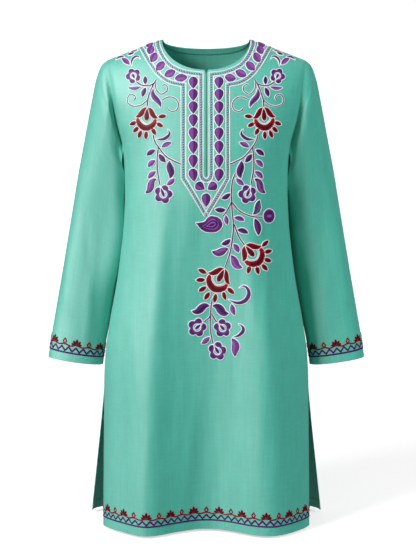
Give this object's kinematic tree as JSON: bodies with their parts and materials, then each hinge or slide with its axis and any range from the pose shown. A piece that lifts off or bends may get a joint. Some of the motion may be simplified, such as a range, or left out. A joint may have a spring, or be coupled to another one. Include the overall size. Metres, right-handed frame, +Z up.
{
  "type": "kurta tunic",
  "caption": "Long-sleeved round-neck tunic, worn and filled out with no wearer: slit neck, side slits, soft front folds and stitched floral decoration.",
  "frame": {"origin": "midway between the two high shoulder points, where the garment hangs from its wearer", "axes": "+Z up the garment from hem to shoulders, +Y from the front to the back, +X towards the wearer's left"},
  "size_m": [0.655, 0.2681, 0.9847],
  "materials": {
    "cloth": "matt slubby plain weave",
    "facing": "matt slubby plain weave"
  },
  "bodies": {
    "root": {"front": "cloth", "back": "cloth", "sleeve_left": "cloth", "sleeve_right": "cloth", "neck_facing_back": "facing"}
  },
  "joints": []
}
